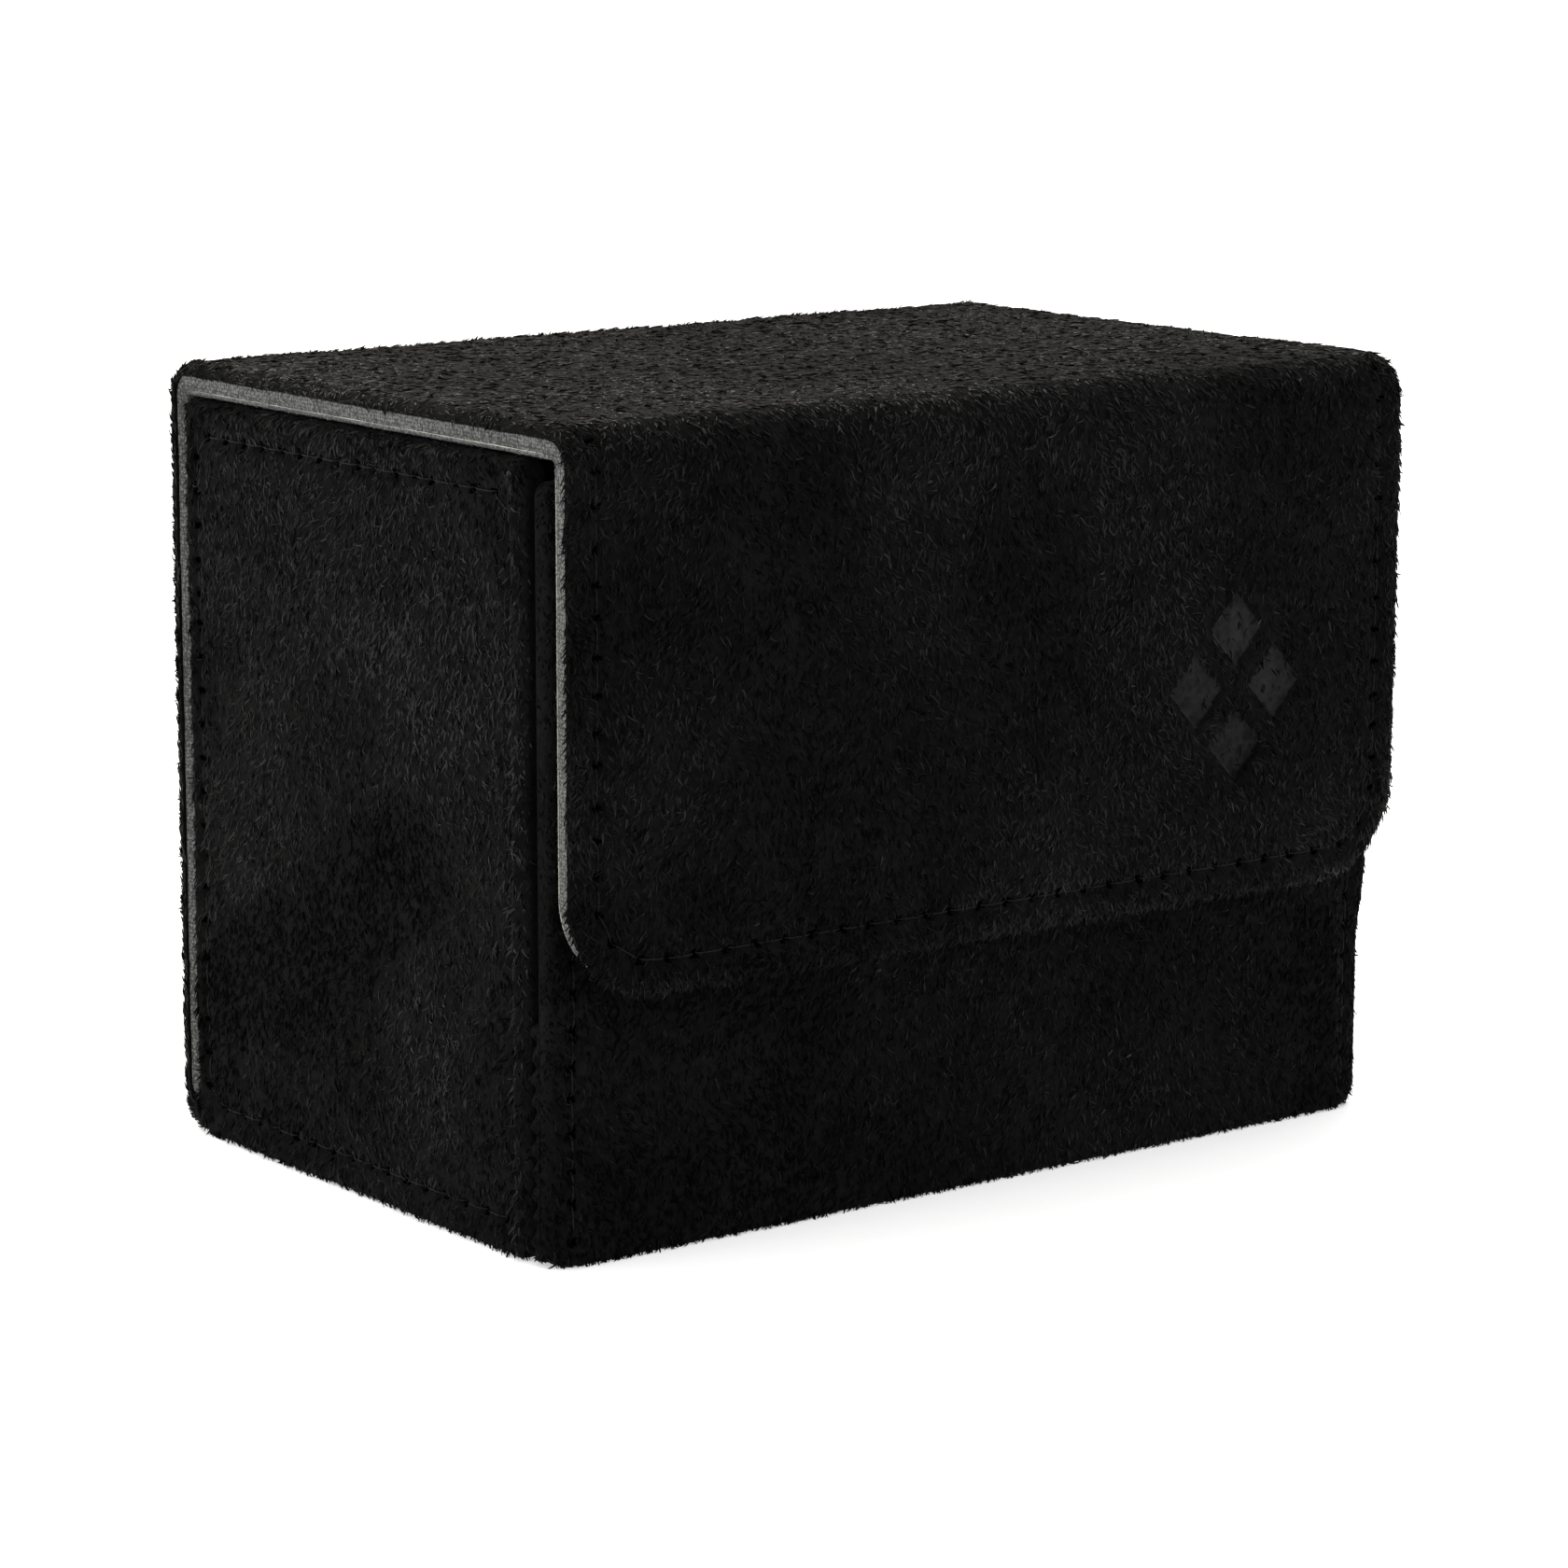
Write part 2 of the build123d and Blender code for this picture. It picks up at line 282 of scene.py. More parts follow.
def rear_depth(v):
    """The wrap on the lid and back, and all of the edge below the end of the back's lining."""
    tuck = smooth(v, lining_end - 0.6 * mm, lining_end + 0.6 * mm)
    wrap = lid_wrap + (back_wrap - lid_wrap) * smooth(v, run_ends[2], run_ends[3])
    return wrap + (cover_thickness - wrap) * tuck


plush_edge = round_edge(2.0 * mm)
lining_edge = round_edge(0.9 * mm, 2.8)
lining_in = 0.3 * mm
cover_front = Panel(
    half_cover, 0, lid_middle, cover_place, plush_edge, front_depth, (flap_radius, 0), (False, True)
)
cover_rear = Panel(
    half_cover, lid_middle, run_ends[6], cover_place, plush_edge, rear_depth, opened=(True, True)
)


def lining_depth(v):
    """The height of the lining's edge, which starts under the rolled edge of the plush."""
    start = np.interp(v, run_ends[:4], (0.75 * mm, 0.85 * mm, 0.85 * mm, 1.35 * mm))
    return cover_thickness - start


cover_front_inside = Panel(
    half_cover - lining_in,
    lining_in,
    lid_middle,
    cover_place,
    lining_edge,
    lining_depth,
    (flap_radius - lining_in, 0),
    (False, True),
)
cover_rear_inside = Panel(
    half_cover - lining_in,
    lid_middle,
    lining_end + 0.5 * mm,
    cover_place,
    lining_edge,
    lining_depth,
    opened=(True, False),
)

side_half = (side_high.y - side_low.y) / 2
side_middle = (side_high.y + side_low.y) / 2
slit_gap = 0.2 * mm
wall_depth = wall_thickness - 0.05 * mm
wall_edge = boxed_edge(0.9 * mm, wall_depth)
wall_corners = (wall_foot_radius, wall_radius)


def side_panel(side):
    """The outside of a side wall; u runs along Y and v up. Its front end stops short of the slit."""
    origin = (side * half_box, side_middle + slit_gap, 0)
    place = flat_place(origin, (0, 1, 0), (0, 0, 1), (side, 0, 0))
    return Panel(side_half - slit_gap, 0, side_high.z, place, wall_edge, wall_depth, wall_corners)


front_place = flat_place((0, front_low.y, 0), (1, 0, 0), (0, 0, 1), (0, -1, 0))
front_wrap = wall_depth - 0.35 * mm
front_edge = boxed_edge(0.9 * mm, front_wrap)
front_panel = Panel(half_box, 0, front_high.z, front_place, front_edge, front_wrap, wall_corners)


def inner_panel(origin, across, outward, half, low, high):
    """A lining glued inside a wall; v runs up."""
    place = flat_place(origin, across, (0, 0, 1), outward)
    return Panel(half, low, high, place, round_edge(0.5 * mm), 0.5 * mm, (1.5 * mm, 1.5 * mm))


# =========================== stitch tracks ===========================


def rounded_track(corners, radius, closed=False):
    """Points about 0.1 mm apart along a polyline in u and v with rounded corners."""
    corners = [np.array(c, float) for c in corners]
    count = len(corners)
    runs = []
    for i, corner in enumerate(corners):
        if not closed and i in (0, count - 1):
            runs.append(corner[None])
            continue
        before, after = corners[i - 1] - corner, corners[(i + 1) % count] - corner
        before, after = before / np.linalg.norm(before), after / np.linalg.norm(after)
        angle = np.linspace(0, quarter, 14)
        centre = corner + (before + after) * radius
        arc = centre - np.outer(np.cos(angle), after) * radius
        runs.append(arc - np.outer(np.sin(angle), before) * radius)
    if closed:
        runs.append(runs[0][:1])
    rough = np.concatenate(runs)
    reach = np.concatenate([[0], np.cumsum(np.linalg.norm(np.diff(rough, axis=0), axis=1))])
    even = np.linspace(0, reach[-1], int(reach[-1] / (0.1 * mm)))
    return np.column_stack([np.interp(even, reach, rough[:, k]) for k in (0, 1)])


def needle_holes(track):
    """Needle holes a pitch apart along a track, each a little off its place."""
    count = round(len(track) * 0.1 * mm / pitch)
    index = np.linspace(0, len(track) - 1, count + 1)
    index[1:-1] += rng.normal(0, 2.0, count - 1)
    return track[index.round().astype(int)]


flap_x, flap_top = half_cover - flap_inset, run_ends[0] + 0.5 * quarter * fold_radius
flap_track = rounded_track(
    [(-flap_x, flap_top), (-flap_x, flap_inset), (flap_x, flap_inset), (flap_x, flap_top)],
    flap_radius - flap_inset,
)
side_u, side_v = side_half - side_end_inset, side_high.z - side_inset
side_track = rounded_track(
    [(-side_u, side_inset), (side_u, side_inset), (side_u, side_v), (-side_u, side_v)],
    seam_radius,
    closed=True,
)
front_u, front_v = half_box - front_inset, front_high.z - front_inset
front_track = rounded_track(
    [(-front_u, seam_radius), (-front_u, front_v), (front_u, front_v), (front_u, seam_radius)],
    seam_radius,
)
flap_holes = needle_holes(flap_track)
side_holes = needle_holes(side_track)
front_holes = needle_holes(front_track)


def near(u, v, track, reach):
    """Distance to the nearest point of a track, or reach where it is farther."""
    nearest = np.full(len(u), reach)
    for first in range(0, len(track), 40):
        part = track[first : first + 41]
        low, high = part.min(0) - reach, part.max(0) + reach
        inside = np.flatnonzero((u > low[0]) & (u < high[0]) & (v > low[1]) & (v < high[1]))
        for some in np.array_split(inside, len(inside) // 20000 + 1):
            gap = np.hypot(u[some, None] - part[:, 0], v[some, None] - part[:, 1]).min(1)
            nearest[some] = np.minimum(nearest[some], gap)
    return nearest


def pulled(u, v, track, holes):
    """How far a seam pulls the plush down: a soft channel, and a pit at each needle hole."""
    groove = 0.32 * mm * np.exp(-((near(u, v, track, 3 * mm) / (0.8 * mm)) ** 2))
    return groove + 0.65 * mm * np.exp(-((near(u, v, holes, 1.6 * mm) / (0.5 * mm)) ** 2))


# =========================== heights ===========================


def hole_share(holes):
    """1 in the needle holes of a seam, 0 away from them: the pile is missing there and the pits get
    painted shade.
    """

    def share(u, v):
        return 1 - smooth(near(u, v, holes, 1.5 * mm), 0.4 * mm, 0.62 * mm)

    return share


def sewn(track, holes):
    """Share of the pile missing along a seam: some on its line, and all that would hide a hole."""
    punched = hole_share(holes)

    def share(u, v):
        line = 0.45 * np.exp(-((near(u, v, track, 1.5 * mm) / (0.4 * mm)) ** 2))
        return np.maximum(line, np.maximum(punched(u, v), punched(u, v - 0.55 * mm)))

    return share


def nap_relief(points, amount=1.0):
    """Broad hand-brushed waves of the plush and its small clumps."""
    waves = 0.09 * mm * noise(points, 13 * mm, 3) + 0.06 * mm * noise(points, 5 * mm, 4)
    clumps = 0.07 * mm * noise(points, 1.2 * mm, 5) + 0.05 * mm * noise(points, 0.6 * mm, 6)
    return amount * (waves + clumps)


def pressed(u, v):
    """1 inside the debossed mark, 0 outside it, with soft walls between."""
    inside = np.zeros(len(u))
    for step_u, step_v in lozenge_steps:
        over_u = np.abs(u - mark_x - step_u) / lozenge_half[0]
        over_v = np.abs(v - (mark_z - flap_low.z) - step_v) / lozenge_half[1]
        inside = np.maximum(inside, 1 - smooth(over_u + over_v, 0.8, 1.08))
    return inside


deepest = 0.15 * mm - plush  # a wall's seam stays off the board under the plush
flap_deepest = -0.62 * mm  # the flap's seam and mark stay off the back of its lining


def cover_front_height(u, v):
    """The flap's outside with its seam and mark, the front fold and half of the lid."""
    inside = pressed(u, v)
    lift = nap_relief(cover_place(u, v, np.zeros(len(u)))) * (1 - 0.8 * inside)
    lift -= 0.6 * mm * inside + pulled(u, v, flap_track, flap_holes)
    return np.maximum(lift, flap_deepest) - cover_front.drop(u, v)


def cover_rear_height(u, v):
    """The other half of the lid, the back fold, the back and its turn under the floor."""
    lift = nap_relief(cover_place(u, v, np.zeros(len(u))))
    return lift * (1 - smooth(v, run_ends[4], run_ends[5])) - cover_rear.drop(u, v)


def rope_folds(panel, flat, u, v):
    """Twisted folds along the low end of u: where they are, and their tops and hollows."""
    ridge = np.exp(-(((u + panel.half - 1.5 * mm) / (0.85 * mm)) ** 2))
    return ridge, np.sin(2 * math.pi * (v - 1.1 * u) / pitch + 0.8 * noise(flat, 3 * mm, 9))


def wall_height(panel, track, holes, gather, amount=1.0, rope=0.0, curl=0.0):
    """A stitched wall: a low crown inside its seam and a rim gathered by the thread.

    rope raises twisted folds along the low end of u, and curl pulls both ends of u back where
    the corner slits are sewn shut.
    """

    def height(u, v):
        flat = panel.place(u, v, np.zeros(len(u)))
        inset = panel.inset(u, v)
        crown = 0.3 * mm * amount * smooth(inset, 4 * mm, 20 * mm)
        twist = np.sin(2 * math.pi * (v + 0.9 * np.abs(u)) / pitch) + 0.5 * noise(flat, 2.2 * mm, 8)
        rim = np.exp(-(((inset - 1.6 * mm) / (0.8 * mm)) ** 2))
        lift = nap_relief(flat, amount) + crown + gather * rim * twist
        ridge, lay = rope_folds(panel, flat, u, v)
        lift += rope * ridge * (0.7 + 0.6 * lay) * smooth(inset, 0.3 * mm, 1.2 * mm)
        end = 1 - smooth(panel.half - np.abs(u), 0.2 * mm, 4.5 * mm)
        sewn_shut = 1 - smooth(v, seam_high.z - 7 * mm, seam_high.z + 3 * mm)
        lift -= pulled(u, v, track, holes) + curl * end * sewn_shut
        return np.maximum(np.maximum(lift, deepest) - panel.drop(u, v), -panel.depth)

    return height


def lining_height(panel, thickness):
    """A lining, measured inward from a face that thickness away."""

    def height(u, v):
        flat = panel.place(u, v, np.zeros(len(u)))
        ripple = 0.035 * mm * noise(flat, 4 * mm, 11) + 0.03 * mm * noise(flat, 1.3 * mm, 12)
        return -thickness - ripple + panel.drop(u, v)

    return height


# =========================== mesh building ===========================


def new_object(name, mesh, materials):
    """A smooth-shaded object for a finished mesh."""
    mesh.polygons.foreach_set("use_smooth", np.ones(len(mesh.polygons), bool))
    obj = bpy.data.objects.new(name, mesh)
    scene.collection.objects.link(obj)
    for material in materials:
        mesh.materials.append(material)
    return obj


def quad_mesh(name, points, quads):
    """A mesh from an array of points and an (n, 4) array of corners."""
    mesh = bpy.data.meshes.new(name)
    mesh.vertices.add(len(points))
    mesh.vertices.foreach_set("co", np.asarray(points, np.float32).ravel())
    mesh.loops.add(quads.size)
    mesh.loops.foreach_set("vertex_index", quads.astype(np.int32).ravel())
    mesh.polygons.add(len(quads))
    mesh.polygons.foreach_set("loop_start", np.arange(0, quads.size, 4, dtype=np.int32))
    mesh.update(calc_edges=True)
    return mesh


def skin(name, panel, height, materials, coarse, zones=((), ()), parts=()):
    """A closed skin: the panel's face with its rolled edges, and a flat underside.

    Each of parts is the share of a face that the next of the materials covers.
    """
    v_rows, across = panel.rows(coarse, zones[1]), panel.columns(coarse, zones[0])
    kept = panel.half - np.abs(across)
    inner = smooth(kept, 3 * mm, 16 * mm)
    half = panel.half_at(v_rows)[:, None]
    near_end = np.sign(across) * np.maximum(half - kept, 0)
    u = near_end * (1 - inner) + across / panel.half * half * inner
    v = np.repeat(v_rows[:, None], len(across), axis=1)
    u, v = u.ravel(), v.ravel()
    points = panel.place(u, v, height(u, v))
    rows, columns = len(v_rows), len(across)
    index = np.arange(rows * columns).reshape(rows, columns)
    faces = np.stack(
        [index[:-1, :-1], index[:-1, 1:], index[1:, 1:], index[1:, :-1]], axis=-1
    ).reshape(-1, 4).tolist()
    shell = len(faces)
    left, right = index[:, 0], index[:, -1]
    for row in range(rows - 1):
        low_run = [left[row], right[row]]
        high_run = [right[row + 1], left[row + 1]]
        if row == 0 and not panel.opened[0]:
            low_run = index[0]
        if row == rows - 2 and not panel.opened[1]:
            high_run = index[-1][::-1]
        faces.append([int(i) for i in [*low_run, *high_run][::-1]])
    if panel.opened[0]:
        faces.append([int(i) for i in index[0][::-1]])
    if panel.opened[1]:
        faces.append([int(i) for i in index[-1]])
    mesh = bpy.data.meshes.new(name)
    mesh.from_pydata(points.tolist(), [], faces)
    obj = new_object(name, mesh, materials)
    corners = np.array(faces[:shell])
    slots = np.zeros(len(faces), np.int32)
    for slot, part in enumerate(parts, 1):
        slots[:shell][part(u[corners].mean(1), v[corners].mean(1)) > 0.6] = slot
    mesh.polygons.foreach_set("material_index", slots)
    work = bmesh.new()
    work.from_mesh(mesh)
    if work.calc_volume(signed=True) < 0:
        bmesh.ops.reverse_faces(work, faces=work.faces[:])
        work.to_mesh(mesh)
    work.free()
    for polygon in mesh.polygons[shell:]:
        polygon.use_smooth = False
        for loop in polygon.loop_indices:
            mesh.edges[mesh.loops[loop].edge_index].use_edge_sharp = True
    return obj


def surface_frames(panel, height, u, v, facing=1):
    """Points of a panel's surface with their outward normals, or inward ones for facing -1."""
    step = 0.04 * mm
    du = -np.sign(u) * step
    dv = np.where(v > (panel.low + panel.high) / 2, -step, step)
    at = panel.place(u, v, height(u, v))
    by_u = (panel.place(u + du, v, height(u + du, v)) - at) * np.sign(du)[:, None]
    by_v = (panel.place(u, v + dv, height(u, v + dv)) - at) * np.sign(dv)[:, None]
    normal = unit(np.cross(by_u, by_v))
    outward = panel.place(u, v, np.full(len(u), mm)) - panel.place(u, v, np.zeros(len(u)))
    flip = np.sign((normal * outward).sum(1)) * facing
    return at, normal * np.where(flip == 0, 1, flip)[:, None]


def brushed(flat, u, v, strokes):
    """How light the nap lies: hand-brushed patches, and soft strokes of (u, v) ends, width, amount."""
    tone = 0.3 * np.tanh(2.5 * noise(flat, 15 * mm, 23)) + 0.1 * noise(flat, 4 * mm, 24)
    at = np.column_stack([u, v])
    for start, stop, width, amount in strokes:
        start, way = np.array(start), np.array(stop) - np.array(start)
        share = np.clip((at - start) @ way / (way @ way), 0, 1)
        gap = np.linalg.norm(at - start - share[:, None] * way, axis=1)
        gap += 0.35 * width * noise(flat, 6 * mm, 25)
        tone += amount * (1 - smooth(gap, 0.55 * width, width))
    return tone


stray_share = 0.07  # the share of clumps that stand up out of the nap
shade_steps = (0.05, 0.38, 0.68, 0.95)  # the lightness at which each next shade begins


def pile_roots(panel, density, rim_only):
    """Where clumps may stand: all over a face, unless rim_only, and down its rolled edges."""
    width, depth = 2 * panel.half, panel.high - panel.low
    count = 0 if rim_only else int(density * width * depth / mm**2)
    u, v = rng.uniform(-panel.half, panel.half, count), rng.uniform(panel.low, panel.high, count)
    insets, drops = panel.profile
    high_end = np.array([panel.high])
    fall = drops * (panel.depth(high_end)[0] if callable(panel.depth) else panel.depth)
    reach = np.concatenate([[0], np.cumsum(np.hypot(np.diff(insets), np.diff(fall)))])
    ends = [end for end, opened in zip((panel.low, panel.high), panel.opened) if not opened]
    runs = [(depth, None, side) for side in (-1, 1)] + [(width, end, None) for end in ends]
    for run, end, side in runs:
        some = int((1.0 if rim_only else 0.8) * density * run * reach[-1] / mm**2)
        inset = np.interp(rng.uniform(0, reach[-1], some), reach, insets)
        if side:
            rim_v = rng.uniform(panel.low, panel.high, some)
            rim_u = side * (panel.half_at(rim_v) - inset)
        else:
            rim_u = rng.uniform(-1, 1, some) * (panel.half - max(panel.radii))
            rim_v = end + inset if end == panel.low else end - inset
        u, v = np.concatenate([u, rim_u]), np.concatenate([v, rim_v])
    return u, v


def pile(name, panel, height, density, shades, tone=0.5, bare=None, flat_part=None, strokes=(),
         size=1.0, trim=None, rim_only=False, facing=1):
    """Tapered curved clumps of pile over a panel, lying along a wandering nap direction.

    density is clumps per square millimetre, tone their mean lightness, which may depend on u and
    v, and size their scale. bare thins the pile, flat_part presses it flatter and trim shortens
    it, each by a share from 0 to 1.
    """
    u, v = pile_roots(panel, density, rim_only)
    keep = panel.inset(u, v) > 0.002 * mm
    if bare:
        keep &= rng.uniform(0, 1, len(u)) > bare(u, v)
    u, v = u[keep], v[keep]
    at, normal = surface_frames(panel, height, u, v, facing)
    level = np.zeros(len(u))
    flat = panel.place(u, v, level)
    angle = -quarter + 0.7 * noise(flat, 9 * mm, 21) + 0.55 * noise(flat, 2.6 * mm, 22)
    angle += rng.normal(0, 0.4, len(u))
    flatter = flat_part(u, v) if flat_part else level
    along_u = panel.place(u + mm, v, level) - flat
    along_v = panel.place(u, v + mm, level) - flat
    way = np.cos(angle)[:, None] * along_u + np.sin(angle)[:, None] * along_v
    way = unit(way - normal * (way * normal).sum(1, keepdims=True))
    stray = rng.uniform(0, 1, len(u)) < stray_share
    lean = np.where(stray, rng.uniform(0.7, 1.2, len(u)), rng.uniform(0.2, 0.65, len(u)))
    lean = (lean * (1 - 0.6 * flatter))[:, None]
    grow = np.cos(lean) * way + np.sin(lean) * normal
    side = unit(np.cross(grow, normal))
    twist = rng.normal(0, 0.5, len(u))[:, None]
    blade = np.cos(twist) * side + np.sin(twist) * normal
    tall = (rng.uniform(0.75, 1.5, len(u)) * size * mm * np.where(stray, 0.8, 1.0))[:, None]
    if trim:
        tall *= 1 - trim(panel, u, v)[:, None]
    curl = rng.normal(0, 0.28, len(u))[:, None]
    broad = (rng.uniform(0.13, 0.27, len(u)) * size * mm * np.where(stray, 0.4, 1.0))[:, None]
    root = at - 0.1 * size * mm * normal
    points = []
    for t, share in ((0, 0.7), (0.35, 1.0), (0.7, 0.75), (1.0, 0.2)):
        middle = root + grow * tall * t + (side * curl - normal * 0.5 * np.sin(lean)) * tall * t * t
        points += [middle - blade * broad * share / 2, middle + blade * broad * share / 2]
    points = np.stack(points, axis=1).reshape(-1, 3)
    points[:, 2] = np.maximum(points[:, 2], 0.0)
    first = np.arange(len(u))[:, None] * 8
    corners = [first + 2 * k + np.array([0, 1, 3, 2]) for k in range(3)]
    quads = np.stack(corners, axis=1).reshape(-1, 4)
    obj = new_object(name, quad_mesh(name, points, quads), shades)
    mean = tone(u, v) if callable(tone) else tone
    lightness = mean + brushed(flat, u, v, strokes) + rng.normal(0, 0.22, len(u))
    shade = np.minimum(np.searchsorted(shade_steps, lightness), len(shades) - 1)
    obj.data.polygons.foreach_set("material_index", np.repeat(shade, 3).astype(np.int32))
    return obj


def thread(name, panel, height, holes, material):
    """One seam's thread: an arched tube from each needle hole down into the next."""
    sides, stations = 6, 9
    t = np.linspace(0, 1, stations)
    ring = np.linspace(0, 2 * math.pi, sides, endpoint=False)
    points, quads = [], []
    for first, last in zip(holes[:-1], holes[1:]):
        way = first + np.outer(t, last - first)
        level = height(*((first + last) / 2)[:, None])[0] + 0.25 * thread_radius
        lift = level - 0.7 * mm * np.abs(2 * t - 1) ** 5
        middle = panel.place(way[:, 0], way[:, 1], lift)
        outward = unit(panel.place(way[:, 0], way[:, 1], lift + mm) - middle)
        tangent = unit(np.gradient(middle, axis=0))
        across = unit(np.cross(tangent, outward))
        upward = np.cross(across, tangent)
        start = len(points) * stations * sides
        turned = np.cos(ring)[None, :, None] * across[:, None]
        turned = turned + np.sin(ring)[None, :, None] * upward[:, None]
        tube = middle[:, None] + thread_radius * turned
        points.append(tube.reshape(-1, 3))
        for k in range(stations - 1):
            for j in range(sides):
                a, b = start + k * sides + j, start + k * sides + (j + 1) % sides
                quads.append((a, b, b + sides, a + sides))
        cap_low = start + np.arange(sides)
        for cap in (cap_low[::-1], cap_low + (stations - 1) * sides):
            quads += [(cap[0], cap[1], cap[2], cap[3]), (cap[0], cap[3], cap[4], cap[5])]
    obj = new_object(name, quad_mesh(name, np.concatenate(points), np.array(quads)), [material])
    return obj


# =========================== materials ===========================


def add(tree, kind, inputs, **settings):
    """A shader node with its settings and its inputs, which are values or sockets."""
    node = tree.nodes.new("ShaderNode" + kind)
    for key, value in settings.items():
        setattr(node, key, value)
    for key, value in inputs.items():
        if isinstance(value, bpy.types.NodeSocket):
            tree.links.new(value, node.inputs[key])
        else:
            node.inputs[key].default_value = value
    return node


def new_material(name, **values):
    """A Principled material with plain values, its node tree and its shader."""
    material = bpy.data.materials.new(name)
    material.use_nodes = True
    shader = material.node_tree.nodes["Principled BSDF"]
    for key, value in values.items():
        shader.inputs[key.replace("_", " ")].default_value = value
    return material, material.node_tree, shader


def ramp(tree, factor, stops):
    """A colour ramp through (place, grey or colour) stops."""
    node = add(tree, "ValToRGB", {"Fac": factor})
    elements = node.color_ramp.elements
    for index, (place, colour) in enumerate(stops):
        element = elements[index] if index < len(elements) else elements.new(place)
        element.position = place
        element.color = (*((colour,) * 3 if isinstance(colour, float) else colour), 1)
    return node.outputs["Color"]


def plush_material(name, dark, light, sheen, roughness=0.85, relief=0.25 * mm):
    """Short-pile plush: brushed patches, clumps and fine fibres in colour, roughness and bump."""
    material, tree, shader = new_material(
        name, Sheen_Weight=sheen, Sheen_Roughness=0.4, Specular_IOR_Level=0.02
    )
    coords = add(tree, "TexCoord", {}).outputs["Object"]
    patches = add(tree, "TexNoise", {"Vector": coords, "Scale": 85.0, "Detail": 3.0}).outputs["Fac"]
    clumps = add(
        tree, "TexNoise", {"Vector": coords, "Scale": 1100.0, "Detail": 4.0, "Distortion": 0.6}
    ).outputs["Fac"]
    fibres = add(tree, "TexNoise", {"Vector": coords, "Scale": 4500.0, "Detail": 2.0}).outputs["Fac"]
    tone = add(tree, "Math", {0: patches, 1: clumps}, operation="ADD").outputs[0]
    mean = add(tree, "Math", {0: tone, 1: 0.5}, operation="MULTIPLY").outputs[0]
    colour = ramp(tree, mean, [(0.36, dark), (0.64, light)])
    tree.links.new(colour, shader.inputs["Base Color"])
    limits = {"To Min": roughness - 0.1, "To Max": roughness + 0.1}
    rough = add(tree, "MapRange", {"Value": patches, **limits})
    tree.links.new(rough.outputs[0], shader.inputs["Roughness"])
    depth = add(tree, "Math", {0: fibres, 1: 0.4, 2: clumps}, operation="MULTIPLY_ADD").outputs[0]
    bump = add(tree, "Bump", {"Height": depth, "Strength": 0.7, "Distance": relief})
    tree.links.new(bump.outputs[0], shader.inputs["Normal"])
    return material


def pile_shades(name, shades):
    """Plain materials for pile fibres: (grey, specular level), from the darkest to the lightest."""
    return [
        new_material(
            f"{name}_{index}",
            Base_Color=(grey, grey, grey, 1),
            Roughness=0.5,
            Specular_IOR_Level=gloss,
            Sheen_Weight=0.008,
            Sheen_Roughness=0.35,
        )[0]
        for index, (grey, gloss) in enumerate(shades)
    ]


def microfibre_material():
    """Grey knitted microfibre: fine stitches with dark pinholes between them, and a soft fuzz."""
    material, tree, shader = new_material(
        "grey_microfibre", Sheen_Weight=0.12, Sheen_Roughness=0.5, Specular_IOR_Level=0.15
    )
    coords = add(tree, "TexCoord", {}).outputs["Object"]
    knit = add(tree, "TexVoronoi", {"Vector": coords, "Scale": 2700.0, "Randomness": 0.55}).outputs[0]
    fuzz = add(tree, "TexNoise", {"Vector": coords, "Scale": 5200.0, "Detail": 2.0}).outputs["Fac"]
    patches = add(tree, "TexNoise", {"Vector": coords, "Scale": 160.0, "Detail": 3.0}).outputs["Fac"]
    limits = {"From Min": 0.32, "From Max": 0.62, "To Min": 1.0, "To Max": 0.0}
    holes = add(tree, "MapRange", {"Value": knit, **limits}).outputs[0]
    tone = add(tree, "Math", {0: patches, 1: 0.5, 2: 0.55}, operation="MULTIPLY_ADD").outputs[0]
    tone = add(tree, "Math", {0: tone, 1: holes}, operation="MULTIPLY").outputs[0]
    tone = add(tree, "Math", {0: fuzz, 1: 0.3, 2: tone}, operation="MULTIPLY_ADD").outputs[0]
    colour = ramp(tree, tone, [(0.1, 0.02), (1.0, (0.122, 0.127, 0.119))])
    tree.links.new(colour, shader.inputs["Base Color"])
    rough = add(tree, "MapRange", {"Value": fuzz, "To Min": 0.8, "To Max": 1.0})
    tree.links.new(rough.outputs[0], shader.inputs["Roughness"])
    depth = add(tree, "Math", {0: fuzz, 1: 0.5, 2: holes}, operation="MULTIPLY_ADD").outputs[0]
    bump = add(tree, "Bump", {"Height": depth, "Strength": 0.6, "Distance": 0.12 * mm})
    tree.links.new(bump.outputs[0], shader.inputs["Normal"])
    return material


def thread_material():
    """Dull twisted polyester thread."""
    material, tree, shader = new_material("dark_thread", Specular_IOR_Level=0.09)
    coords = add(tree, "TexCoord", {}).outputs["Object"]
    twist = add(tree, "TexWave", {"Vector": coords, "Scale": 700.0, "Distortion": 2.0},
                bands_direction="DIAGONAL").outputs["Fac"]
    colour = ramp(tree, twist, [(0.1, 0.002), (0.9, 0.006)])
    tree.links.new(colour, shader.inputs["Base Color"])
    rough = add(tree, "MapRange", {"Value": twist, "To Min": 0.45, "To Max": 0.7})
    tree.links.new(rough.outputs[0], shader.inputs["Roughness"])
    bump = add(tree, "Bump", {"Height": twist, "Strength": 0.6, "Distance": 0.06 * mm})
    tree.links.new(bump.outputs[0], shader.inputs["Normal"])
    return material


